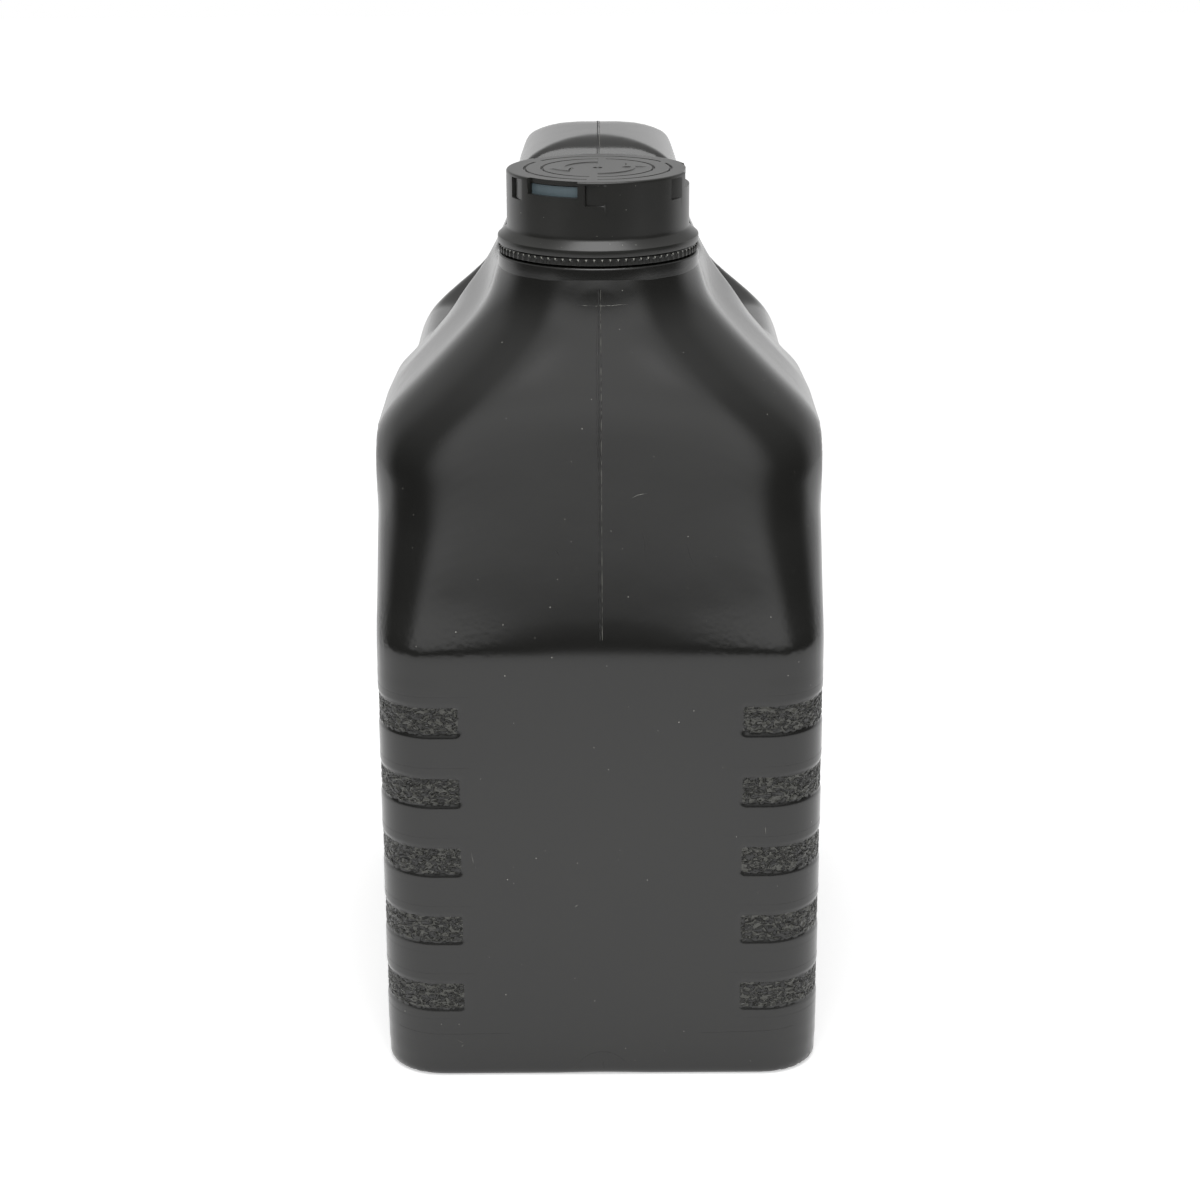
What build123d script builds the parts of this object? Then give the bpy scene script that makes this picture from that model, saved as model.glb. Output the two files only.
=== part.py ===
"""Blow-moulded oil canister with an integral handle and a threaded two-piece cap."""

from build123d import *
import math
import os

os.makedirs("parts", exist_ok=True)

# Body in plan, millimetres; the spout end faces -Y and the origin is under the middle
body_width = 132.0
body_depth = 194.0
corner_radius = 17.0
wall = 1.2
base_wall = 2.4
base_edge_radius = 6.0
seam_channel_half = 22.0
seam_channel_depth = 1.2

# Body from the base up
ledge_height = 134.0
ledge_softness = 8.0
front_slope = 0.277
brow_sag = 1.9
shoulder_height = 187.0
corner_growth = 12.0
neck_height = 238.5
flare_rise = 38.5
neck_radius = 30.4
neck_setback = 60.2
neck_flat = 10.0

# Levels at which the body's outline is drawn, closest where the ledge turns
ledge_levels = (0, 0.12, 0.26, 0.44, 0.64, 0.88)
shoulder_levels = 6
grip_levels = 3

# Handle over the rear of the body, with the finger hole under it
handle_top = 271.0
grip_half_width = 25.5
grip_dome_rise = 14.5
grip_thickness = 28.0
grip_flat = 12.0
rear_sweep = 68.0
rear_lead = 8.0
root_front = 93.0
root_lean = 6.0
root_foot_radius = 5.0
root_top_radius = 12.0
rear_top_radius = 62.0
hole_front = 110.0
rear_post = 20.0
hole_bottom = 205.0
hole_corner_radius = 15.0
hole_edge_radius = 7.5

# Raised grip bars that wrap the four vertical corners
bar_count = 5
bar_first = 23.0
bar_pitch = 22.2
bar_height = 8.2
bar_proud = 0.7
bar_bite = 0.6
bar_front_reach = 7.5
bar_side_reach = 9.0

# Neck collar and threaded finish
collar_radius = 29.7
collar_height = 4.4
collar_edge_radius = 0.6
finish_radius = 21.9
finish_wall = 2.0
finish_height = 20.0
thread_pitch = 4.5
thread_depth = 1.4
thread_root_width = 2.2
thread_crest_width = 1.0
thread_sink = 0.4
thread_lift = 6.4
thread_rise = 7.2
cap_thread_rise = 5.6
ring_bead_depth = 2.4
ring_bead_height = 1.2

# Tamper ring left on the neck
ring_gap = 0.5
ring_radius = 29.5
tooth_depth = 0.4
tooth_count = 80
tooth_half_width = 0.7
ring_height = 2.3
ring_band = 1.7
ring_lip_height = 1.2
ring_clearance = 0.5
bridge_count = 12
bridge_width = 1.2
bridge_stub = 0.12

# Cap: outer shell, threaded inner cap and sealing liner, stacked on the finish
break_gap = 0.25
stack_gap = 0.15
liner_thickness = 0.9
liner_clearance = 0.4
inner_top = 1.4
inner_wall = 1.7
shell_top = 1.4
shell_wall = 1.5
skirt_radius = 27.0
flare_radius = 29.8
skirt_flare_rise = 2.3
shell_collar_height = 2.0
snap_gap = 0.2
rim_edge_radius = 0.5

# Windows, ramp pockets and ring grooves of the outer shell
window_count = 3
window_span = 36.0
window_middle = -30.7
window_height = 4.6
window_lip = 1.1
pocket_count = 6
pocket_start = -7.7
pocket_span = 13.0
pocket_height = 6.9
pocket_depth = 0.9
groove_radius = 21.6
groove_count = 3
inner_groove_radius = 16.5
inner_groove_count = 2
groove_break = 9.0
groove_width = 0.7
groove_depth = 0.5
arrow_count = 2
arrow_radius = 10.5
arrow_span = 105.0
arrow_width = 1.5
arrow_head = 2.2
arrow_height = 0.35

# Places that follow from the sizes above
front_y = -body_depth / 2
rear_y = body_depth / 2
neck_y = front_y + neck_setback
neck_axis = Axis((0, neck_y, 0), (0, 0, 1))
collar_top = neck_height + collar_height
finish_top = collar_top + finish_height
ring_bottom = collar_top + ring_gap
ring_top = ring_bottom + ring_height
bead_bottom = ring_bottom + ring_lip_height + 2 * stack_gap
inner_cap_bottom = bead_bottom + ring_bead_height + ring_gap
liner_bottom = finish_top + stack_gap
inner_cap_top = liner_bottom + liner_thickness + stack_gap + inner_top
shell_bottom = ring_top + break_gap
shell_height = inner_cap_top + stack_gap + shell_top
inner_cap_radius = skirt_radius - shell_wall - snap_gap
inner_cap_bore = inner_cap_radius - inner_wall
hole_top = handle_top - grip_thickness
hole_rear = body_depth - rear_post

# Cutters reach past the body by this much, and the handle's side limit stands this far behind its rear face
past = 20.0
sliver = 0.01


def ease(value, start, end):
    """Smooth step from 0 at start to 1 at end."""
    t = min(max((value - start) / (end - start), 0.0), 1.0)
    return t * t * (3 - 2 * t)


def front_recede(z):
    """How far the front face lies behind the foot of the front panel at height z."""

    def lean(height):
        rise = max(height - ledge_height, 0.0)
        return front_slope * (math.hypot(rise, ledge_softness) - ledge_softness)

    flare_start = neck_height - flare_rise
    if z <= flare_start:
        return lean(z)
    t = min((z - flare_start) / flare_rise, 1.0)
    blend = ease(t, 0, 1)
    start = lean(flare_start)
    end = neck_setback - neck_radius
    return start + (end - start) * blend + front_slope * flare_rise * t * (1 - t) ** 2


def plan_outline(z, inset):
    """Outline of the body at height z, every side drawn in by inset."""
    half = body_width / 2
    grip_start = handle_top - grip_dome_rise
    to_shoulder = ease(z, ledge_height, shoulder_height)
    to_neck = ease(z, shoulder_height, neck_height)
    to_grip = ease(z, shoulder_height, grip_start)
    side = half - (half - grip_half_width) * to_grip
    front_half = half - (half - neck_radius) * to_neck
    front_half -= (neck_radius - grip_half_width) * ease(z, neck_height, grip_start)
    front_flat = half - corner_radius - corner_growth * to_shoulder
    front_flat -= (half - corner_radius - corner_growth - neck_flat) * to_neck
    to_rear = ease(z, shoulder_height - rear_lead, grip_start - 2 * rear_lead)
    rear_flat = half - corner_radius - (half - corner_radius - grip_flat) * to_rear
    rear_reach = corner_radius + (rear_sweep - corner_radius) * to_rear
    rear_start = rear_y - rear_reach
    sag = brow_sag * ease(z, ledge_height, ledge_height + 2 * ledge_softness)
    edge_slope = 2 * sag * front_flat / (front_flat**2 + sag**2)
    arc_start = math.asin(edge_slope)
    arc_radius = (front_half - front_flat) / (1 - edge_slope)
    arc_centre = Vector(
        front_half - arc_radius,
        front_y + front_recede(z) + sag + arc_radius * math.cos(arc_start),
    )

    def on_arc(angle):
        reach = arc_radius - inset
        return Vector(arc_centre.X + reach * math.sin(angle), arc_centre.Y - reach * math.cos(angle))

    def mirrored(points):
        return [Vector(-point.X, point.Y) for point in points]

    corner = [on_arc(angle) for angle in (arc_start, (arc_start + math.pi / 2) / 2, math.pi / 2)]
    front_middle = Vector(0, front_y + front_recede(z) + inset)
    side_rear = Vector(side - inset, rear_start)
    ease_in = (rear_start - arc_centre.Y) / 3
    flank = [corner[2], corner[2] + Vector(0, ease_in), side_rear - Vector(0, ease_in), side_rear]
    rear_radii = (side - rear_flat - inset, rear_reach - inset)
    rear_corner = Vector(rear_flat, rear_y - inset)
    with BuildSketch(Plane.XY.offset(z)) as outline:
        with BuildLine():
            if sag > 0:
                ThreePointArc(*mirrored(corner[:1]), front_middle, corner[0])
            else:
                Line(*mirrored(corner[:1]), corner[0])
            ThreePointArc(*corner)
            Bezier(*flank)
            EllipticalCenterArc((rear_flat, rear_start), *rear_radii, start_angle=0, arc_size=90)
            Line(rear_corner, *mirrored([rear_corner]))
            EllipticalCenterArc((-rear_flat, rear_start), *rear_radii, start_angle=90, arc_size=90)
            Bezier(*reversed(mirrored(flank)))
            ThreePointArc(*reversed(mirrored(corner)))
        make_face()
    return outline.sketch


def side_limit(inset):
    """Side view of the space the body keeps to: the neck's step, the handle's root and its rear corner."""
    foot = neck_height - inset
    root = front_y + root_front + inset
    with BuildPart() as limit:
        with BuildSketch(Plane.YZ.offset(-body_width)):
            with BuildLine():
                FilletPolyline(
                    (front_y - past, 0),
                    (front_y - past, foot),
                    (root, foot),
                    (root + root_lean, handle_top - inset),
                    (rear_y + sliver - inset, handle_top - inset),
                    (rear_y + sliver - inset, 0),
                    radius=[1, 1, root_foot_radius, root_top_radius - inset, rear_top_radius - inset, 1],
                    close=True,
                )
            make_face()
        extrude(amount=2 * body_width)
    return limit.part


def grip_limit(inset):
    """Front view of the same space: an elliptical crest over the full depth."""
    half = grip_half_width - inset
    rise = grip_dome_rise - inset
    spring = handle_top - grip_dome_rise
    spread = body_width - grip_half_width
    with BuildPart() as limit:
        with BuildSketch(Plane.XZ.offset(-rear_y - past)):
            with BuildLine():
                EllipticalCenterArc((0, spring), half, rise, start_angle=0, arc_size=180)
                Polyline((-half, spring), (-half - spread, spring - spread), (-half - spread, 0))
                Line((-half - spread, 0), (half + spread, 0))
                Polyline((half + spread, 0), (half + spread, spring - spread), (half, spring))
            make_face()
        extrude(amount=body_depth + 2 * past)
    return limit.part


def body_form(inset, floor):
    """Closed form of the body and handle with every face drawn in by inset, standing on floor."""
    ledge_rise = shoulder_height - ledge_height
    shoulder_rise = (neck_height - shoulder_height) / shoulder_levels
    grip_rise = (handle_top + wall - neck_height) / grip_levels
    lower = [ledge_height + share * ledge_rise for share in ledge_levels]
    upper = [shoulder_height + step * shoulder_rise for step in range(shoulder_levels + 1)]
    grip = [neck_height + step * grip_rise for step in range(1, grip_levels + 1)]
    with BuildPart() as form:
        for z in lower + upper + grip:
            add(plan_outline(z, inset))
        loft()
        add(side_limit(inset), mode=Mode.INTERSECT)
        add(grip_limit(inset), mode=Mode.INTERSECT)
        hole_middle = ((hole_front + hole_rear) / 2 + front_y, (hole_bottom + hole_top) / 2)
        with BuildSketch(Plane.YZ.offset(-body_width)):
            with Locations(hole_middle):
                RectangleRounded(
                    hole_rear - hole_front + 2 * inset,
                    hole_top - hole_bottom + 2 * inset,
                    hole_corner_radius + inset,
                )
        extrude(amount=2 * body_width, mode=Mode.SUBTRACT)
        rims = form.edges(Select.LAST).filter_by(Axis.X, reverse=True)
        fillet(rims, hole_edge_radius - inset)
        with BuildSketch(Plane.XY.offset(ledge_height)):
            RectangleRounded(body_width - 2 * inset, body_depth - 2 * inset, corner_radius - inset)
        extrude(amount=floor - ledge_height)
        fillet(form.faces().sort_by(Axis.Z)[0].edges(), base_edge_radius - inset)
    return form.part


def neck_cylinder(radius, bottom, top):
    """Upright cylinder on the neck's axis."""
    with BuildPart() as cylinder:
        with BuildSketch(Plane((0, neck_y, bottom))):
            Circle(radius)
        extrude(amount=top - bottom)
    return cylinder.part


def neck_collar():
    """Collar under the tamper ring, its top edge rounded."""
    with BuildPart() as collar:
        add(neck_cylinder(collar_radius, neck_height - wall, collar_top))
        fillet(collar.edges().group_by(Axis.Z)[-1], collar_edge_radius)
    return collar.part


def thread_ridge(wall_radius, depth, bottom, rise):
    """Helical ridge on a wall; a positive depth stands outward and a negative one inward."""
    root = thread_root_width / 2
    crest = thread_crest_width / 2
    sink = math.copysign(thread_sink, depth)
    with BuildPart() as ridge:
        with BuildLine() as path:
            Helix(pitch=thread_pitch, height=rise, radius=wall_radius, center=(0, neck_y, bottom))
        start = Plane(origin=path.line @ 0, x_dir=(1, 0, 0), z_dir=path.line % 0)
        with BuildSketch(start):
            Polygon((-sink, root), (-sink, -root), (depth, -crest), (depth, crest), align=None)
        sweep(is_frenet=True)
    return ridge.part


def bar_ring(bottom):
    """One level of grip bars: a band round the body, kept only at the four corners."""
    with BuildPart() as ring:
        with BuildSketch(Plane.XY.offset(bottom)):
            RectangleRounded(
                body_width + 2 * bar_proud, body_depth + 2 * bar_proud, corner_radius + bar_proud
            )
            RectangleRounded(
                body_width - 2 * bar_bite, body_depth - 2 * bar_bite, corner_radius - bar_bite,
                mode=Mode.SUBTRACT,
            )
            front_gap = body_width - 2 * (corner_radius + bar_front_reach)
            side_gap = body_depth - 2 * (corner_radius + bar_side_reach)
            Rectangle(front_gap, body_depth + past, mode=Mode.SUBTRACT)
            Rectangle(body_width + past, side_gap, mode=Mode.SUBTRACT)
        extrude(amount=bar_height)
    return ring.part


# Bottle body: outer form, bars, neck and thread, less the hollow
outer_form = body_form(0, 0)
inner_form = body_form(wall, base_wall)
seam_channel_radius = (seam_channel_half**2 + seam_channel_depth**2) / (2 * seam_channel_depth)
with BuildPart() as bottle_body:
    add(outer_form)
    for level in range(bar_count):
        add(bar_ring(bar_first + level * bar_pitch))
    with BuildSketch(Plane.XZ.offset(-rear_y - past)):
        with Locations((0, seam_channel_depth - seam_channel_radius)):
            Circle(seam_channel_radius)
    extrude(amount=body_depth + 2 * past, mode=Mode.SUBTRACT)
    add(neck_collar())
    add(neck_cylinder(finish_radius, collar_top - wall, finish_top))
    add(neck_cylinder(finish_radius + ring_bead_depth, bead_bottom, bead_bottom + ring_bead_height))
    add(thread_ridge(finish_radius, thread_depth, collar_top + thread_lift, thread_rise))
    add(inner_form, mode=Mode.SUBTRACT)
    add(neck_cylinder(collar_radius - wall, neck_height - 2 * wall, collar_top - wall), mode=Mode.SUBTRACT)
    add(neck_cylinder(finish_radius - finish_wall, neck_height, finish_top + past), mode=Mode.SUBTRACT)
bottle_body.part.label = "bottle_body"


# Tamper ring: toothed band with an inner lip held under the neck's bead
with BuildPart() as tamper_ring:
    add(neck_cylinder(ring_radius, ring_bottom, ring_top))
    with BuildSketch(Plane((0, neck_y, ring_bottom))):
        with PolarLocations(ring_radius, tooth_count):
            Polygon(
                (-tooth_depth, -tooth_half_width),
                (tooth_depth, 0),
                (-tooth_depth, tooth_half_width),
                align=None,
            )
    extrude(amount=ring_height)
    with BuildSketch(Plane((0, neck_y, ring_top))):
        with PolarLocations(ring_radius - ring_band / 2, bridge_count):
            Rectangle(ring_band / 2, bridge_width)
    extrude(amount=bridge_stub)
    add(neck_cylinder(finish_radius + ring_clearance, ring_bottom, ring_top), mode=Mode.SUBTRACT)
    add(neck_cylinder(ring_radius - ring_band, ring_bottom + ring_lip_height, ring_top), mode=Mode.SUBTRACT)
tamper_ring.part.label = "tamper_ring"


# Sealing liner: the wad that closes the mouth
with BuildPart() as sealing_liner:
    add(neck_cylinder(inner_cap_bore - liner_clearance, liner_bottom, liner_bottom + liner_thickness))
sealing_liner.part.label = "sealing_liner"


# Inner cap: threaded cup inside the shell
cap_thread_bottom = collar_top + thread_lift + thread_pitch / 2
with BuildPart() as inner_cap:
    add(neck_cylinder(inner_cap_radius, inner_cap_bottom, inner_cap_top))
    add(neck_cylinder(inner_cap_bore, inner_cap_bottom, inner_cap_top - inner_top), mode=Mode.SUBTRACT)
    add(thread_ridge(inner_cap_bore, -thread_depth, cap_thread_bottom, cap_thread_rise))
inner_cap.part.label = "inner_cap"


def polar(radius, angle):
    """Point in plan on the neck's axis; angles run from the spout end towards +X."""
    return (radius * math.sin(math.radians(angle)), -radius * math.cos(math.radians(angle)))


def ring_arcs(inner, outer, start, span, count):
    """Equal arcs of a ring, drawn in the open sketch."""
    mid = start + span / 2
    reach = 2 * outer
    with BuildSketch(mode=Mode.PRIVATE) as arcs:
        with PolarLocations(0, count):
            Polygon((0, 0), polar(reach, start), polar(reach, mid), polar(reach, start + span), align=None)
        Circle(inner, mode=Mode.SUBTRACT)
        Circle(outer, mode=Mode.INTERSECT)
    add(arcs.sketch)


# Cap shell: skirt with a flared foot, windows to the inner cap and ramp pockets
with BuildPart() as cap_shell:
    foot = shell_bottom + shell_collar_height
    under_top = shell_height - shell_top
    with BuildSketch(Plane((0, neck_y, 0), x_dir=(1, 0, 0), z_dir=(0, -1, 0))):
        with BuildLine():
            Polyline(
                (0, shell_height),
                (skirt_radius, shell_height),
                (skirt_radius, foot + skirt_flare_rise),
                (flare_radius, foot),
                (flare_radius, shell_bottom),
                (flare_radius - shell_wall, shell_bottom),
                (flare_radius - shell_wall, foot - shell_wall / 2),
                (skirt_radius - shell_wall, foot + skirt_flare_rise - shell_wall / 2),
                (skirt_radius - shell_wall, under_top),
                (0, under_top),
                close=True,
            )
        make_face()
    revolve(axis=neck_axis)
    fillet(cap_shell.faces().sort_by(Axis.Z)[-1].edges(), rim_edge_radius)
    window_start = window_middle - window_span / 2
    with BuildSketch(Plane((0, neck_y, shell_height - window_height))):
        ring_arcs(inner_cap_radius, flare_radius, window_start, window_span, window_count)
    extrude(amount=window_height - shell_top, mode=Mode.SUBTRACT)
    with BuildSketch(Plane((0, neck_y, under_top))):
        ring_arcs(skirt_radius - window_lip, flare_radius, window_start, window_span, window_count)
    extrude(amount=shell_top, mode=Mode.SUBTRACT)
    with BuildSketch(Plane((0, neck_y, shell_height - pocket_height))):
        with PolarLocations(0, pocket_count):
            Polygon(
                polar(skirt_radius - pocket_depth, pocket_start),
                polar(flare_radius, pocket_start),
                polar(flare_radius, pocket_start + pocket_span),
                polar(skirt_radius, pocket_start + pocket_span),
                align=None,
            )
    extrude(amount=pocket_height, mode=Mode.SUBTRACT)
    for radius, count in ((groove_radius, groove_count), (inner_groove_radius, inner_groove_count)):
        with BuildSketch(Plane((0, neck_y, shell_height))):
            arc = 360 / count - groove_break
            ring_arcs(radius - groove_width / 2, radius + groove_width / 2, 0, arc, count)
        extrude(amount=-groove_depth, mode=Mode.SUBTRACT)
    with BuildSketch(Plane((0, neck_y, shell_height))):
        ring_arcs(arrow_radius - arrow_width / 2, arrow_radius + arrow_width / 2, 0, arrow_span, arrow_count)
        with PolarLocations(0, arrow_count):
            Polygon(
                polar(arrow_radius - arrow_head, arrow_span),
                polar(arrow_radius, arrow_span + math.degrees(2 * arrow_head / arrow_radius)),
                polar(arrow_radius + arrow_head, arrow_span),
                align=None,
            )
    extrude(amount=arrow_height)
cap_shell.part.label = "cap_shell"

for piece in (bottle_body, tamper_ring, sealing_liner, inner_cap, cap_shell):
    export_step(piece.part, f"parts/{piece.part.label}.step")
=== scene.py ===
import math

import bmesh
import bpy
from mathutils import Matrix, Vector, noise
from mathutils.bvhtree import BVHTree


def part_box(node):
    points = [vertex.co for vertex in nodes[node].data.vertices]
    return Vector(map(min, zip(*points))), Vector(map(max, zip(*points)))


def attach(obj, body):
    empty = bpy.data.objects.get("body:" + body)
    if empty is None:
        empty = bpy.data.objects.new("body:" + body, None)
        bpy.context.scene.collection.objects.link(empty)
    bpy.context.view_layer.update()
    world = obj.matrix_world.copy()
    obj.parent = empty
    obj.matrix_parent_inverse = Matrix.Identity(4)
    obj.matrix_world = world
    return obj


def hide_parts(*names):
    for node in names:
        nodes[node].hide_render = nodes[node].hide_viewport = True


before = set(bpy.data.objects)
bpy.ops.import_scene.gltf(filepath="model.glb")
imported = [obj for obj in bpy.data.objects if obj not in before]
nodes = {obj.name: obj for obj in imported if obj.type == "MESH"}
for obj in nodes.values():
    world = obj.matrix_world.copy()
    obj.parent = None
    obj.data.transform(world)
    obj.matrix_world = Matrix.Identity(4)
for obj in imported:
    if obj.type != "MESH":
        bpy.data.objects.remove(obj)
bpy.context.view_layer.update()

# A five-litre black canister: blown body, toothed tamper band, two-piece screw cap.
# Lengths in the dictionaries are millimetres; Blender's own unit is the metre.
mm = 0.001

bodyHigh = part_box("bottle_body")[1]
capLow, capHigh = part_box("cap_shell")
bandLow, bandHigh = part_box("tamper_ring")
neckY = (capLow.y + capHigh.y) / 2
print("frame loaded, neck axis at y", round(neckY / mm, 2), "mm")


def hexColour(code):
    # sRGB hex to the linear values that shaders work in
    parts = [int(code[i:i + 2], 16) / 255 for i in (1, 3, 5)]
    linear = [p / 12.92 if p <= 0.04045 else ((p + 0.055) / 1.055) ** 2.4 for p in parts]
    return (*linear, 1.0)


def addNode(tree, kind, inputs=None, **settings):
    # one node with its settings; an input that is a node or a socket becomes a link
    node = tree.nodes.new("ShaderNode" + kind)
    for name, value in settings.items():
        setattr(node, name, value)
    for slot, value in (inputs or {}).items():
        if isinstance(value, bpy.types.Node):
            value = value.outputs[0]
        if isinstance(value, bpy.types.NodeSocket):
            tree.links.new(value, node.inputs[slot])
        else:
            node.inputs[slot].default_value = value
    return node


def perMetre(size):
    # texture scale that repeats once in this many millimetres
    return 1 / (size * mm)


def newMaterial(name):
    material = bpy.data.materials.new(name)
    material.use_nodes = True
    material.node_tree.nodes.clear()
    return material, material.node_tree


def bumpChain(tree, layers):
    # each layer is a height from 0 to 1 and its full depth in millimetres
    normal = None
    for height, depth in layers:
        inputs = {"Height": height, "Distance": depth * mm, "Strength": 1.0}
        if normal:
            inputs["Normal"] = normal
        normal = addNode(tree, "Bump", inputs)
    return normal


def ease(value, low, high):
    share = min(max((value - low) / (high - low), 0.0), 1.0)
    return share * share * (3 - 2 * share)


def paint(obj, material):
    obj.data.materials.clear()
    obj.data.materials.append(material)


def addPiece(name, mesh, body, material, sharp=None):
    piece = bpy.data.objects.new(name, mesh)
    bpy.context.scene.collection.objects.link(piece)
    paint(piece, material)
    for face in mesh.polygons:
        face.use_smooth = True
    if sharp:
        mesh.set_sharp_from_angle(angle=math.radians(sharp))
    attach(piece, body)
    return piece


def newMesh(name, points, faces):
    data = bpy.data.meshes.new(name)
    data.from_pydata(points, [], faces)
    return data


def applied(obj):
    # the mesh with every modifier worked in
    graph = bpy.context.evaluated_depsgraph_get()
    mesh = bpy.data.meshes.new_from_object(obj.evaluated_get(graph))
    mesh.name = obj.name
    return mesh


def polar(radius, angle, z):
    # point about the neck's axis, in metres; angles run from the spout end towards +X
    turn = math.radians(angle)
    return (radius * mm * math.sin(turn), neckY - radius * mm * math.cos(turn), z * mm)


def arcShare(angle, start, span, count):
    # how far into its arc an angle lies, from 0 to 1, or None between the arcs
    turn = (angle - start) % (360 / count)
    return turn / span if turn <= span else None


def turnedMesh(name, columns, rows, place, keep=None, join=None):
    # a lathe grid: place(angle, row) gives radius and height, keep says which faces stay
    mesh = bmesh.new()
    rings = []
    for row in rows:
        ring = []
        for column in range(columns):
            angle = 360 * column / columns
            radius, z = place(angle, row)
            ring.append(mesh.verts.new(polar(radius, angle, z)))
        rings.append(ring)
    for j in range(len(rings) - 1):
        for i in range(columns):
            k = (i + 1) % columns
            if keep is None or keep(360 * (i + 0.5) / columns, j):
                mesh.faces.new((rings[j][i], rings[j][k], rings[j + 1][k], rings[j + 1][i]))
    if join:
        join(mesh, rings)
    bmesh.ops.remove_doubles(mesh, verts=mesh.verts, dist=0.004 * mm)
    bmesh.ops.delete(mesh, geom=[v for v in mesh.verts if not v.link_faces], context="VERTS")
    bmesh.ops.recalc_face_normals(mesh, faces=mesh.faces)
    data = bpy.data.meshes.new(name)
    mesh.to_mesh(data)
    mesh.free()
    return data


# Black HDPE, blow moulded: a satin skin with a faint orange peel, cloudy in tone, never quite flat,
# with a leathery grain at the foot of the upper panel and a scatter of pale dust
blownSet = {
    "black": "#161615", "cloud": "#1d1d1b", "dust": "#b4b4ac",
    "roughness": 0.2, "ior": 1.54,
    "cloudSize": 55.0, "peelSize": 1.1, "peelDepth": 0.010,
    "waveSize": 38.0, "waveDepth": 0.14,
    "grainSize": 0.5, "grainDepth": 0.006,       # drawn coarser than the real one, which is near 0.1 mm
    "leatherSize": 1.5, "leatherDepth": 0.06, "leatherLow": 138.0, "leatherHigh": 156.0,
    "leatherEdge": 4.0, "leatherFrom": 18.0, "leatherFull": 44.0,
    "dustSpacing": 4.6, "dustRadius": 0.2,
}


def blownHdpe():
    material, tree = newMaterial("black_hdpe_blow_moulded")
    place = addNode(tree, "TexCoord").outputs["Object"]
    where = addNode(tree, "SeparateXYZ", {0: place})
    cloud = addNode(tree, "TexNoise", {"Vector": place, "Scale": perMetre(blownSet["cloudSize"]),
                                       "Detail": 3.0, "Roughness": 0.6})
    body = addNode(tree, "Mix", {"Factor": cloud, "A": hexColour(blownSet["black"]),
                                 "B": hexColour(blownSet["cloud"])}, data_type="RGBA")
    specks = addNode(tree, "TexVoronoi", {"Vector": place, "Scale": perMetre(blownSet["dustSpacing"])})
    reach = blownSet["dustRadius"] / blownSet["dustSpacing"]
    dust = addNode(tree, "MapRange", {"Value": specks.outputs["Distance"], "From Min": reach,
                                      "From Max": reach / 2}, interpolation_type="SMOOTHSTEP")
    pick = addNode(tree, "SeparateColor", {0: specks.outputs["Color"]})
    dust = addNode(tree, "Math", {0: dust, 1: pick.outputs["Red"]}, operation="MULTIPLY")
    colour = addNode(tree, "Mix", {"Factor": dust, "A": body.outputs["Result"],
                                   "B": hexColour(blownSet["dust"])}, data_type="RGBA")
    peel, wave, grain = [
        addNode(tree, "TexNoise", {"Vector": place, "Scale": perMetre(blownSet[size]), "Detail": detail})
        for size, detail in (("peelSize", 2.0), ("waveSize", 1.0), ("grainSize", 2.0))]
    leather = addNode(tree, "TexVoronoi", {"Vector": place, "Scale": perMetre(blownSet["leatherSize"])},
                      feature="SMOOTH_F1")
    across = addNode(tree, "Math", {0: where.outputs["X"]}, operation="ABSOLUTE")
    low, high = blownSet["leatherLow"], blownSet["leatherHigh"]
    # the leathery grain keeps to a band of heights, and to the outer parts of the panel
    leathery = leather.outputs["Distance"]
    for value, start, full in ((where.outputs["Z"], low - blownSet["leatherEdge"], low),
                               (where.outputs["Z"], high, low),
                               (across, blownSet["leatherFrom"], blownSet["leatherFull"])):
        share = addNode(tree, "MapRange", {"Value": value, "From Min": start * mm, "From Max": full * mm},
                        interpolation_type="SMOOTHSTEP")
        leathery = addNode(tree, "Math", {0: leathery, 1: share}, operation="MULTIPLY")
    normal = bumpChain(tree, [(wave, blownSet["waveDepth"]), (peel, blownSet["peelDepth"]),
                              (leathery, blownSet["leatherDepth"]), (grain, blownSet["grainDepth"])])
    shader = addNode(tree, "BsdfPrincipled", {"Base Color": colour.outputs["Result"],
                                              "Roughness": blownSet["roughness"],
                                              "IOR": blownSet["ior"], "Normal": normal})
    addNode(tree, "OutputMaterial", {"Surface": shader})
    return material


# Black HDPE blown against an etched mould: wrinkled like old leather, and duller for it
grainedSet = {
    "black": "#161615", "worn": "#464641", "roughness": 0.3,
    "wrinkleSize": 2.1, "wrinkleFlat": 1.7, "wrinkleDepth": 0.65, "wrinkleDetail": 1.5, "wrinkleTwist": 1.1,
    "crackLow": 0.4, "crackHigh": 0.6,
    "fineSize": 0.6, "fineDepth": 0.05,          # drawn coarser than the real one
}


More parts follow.
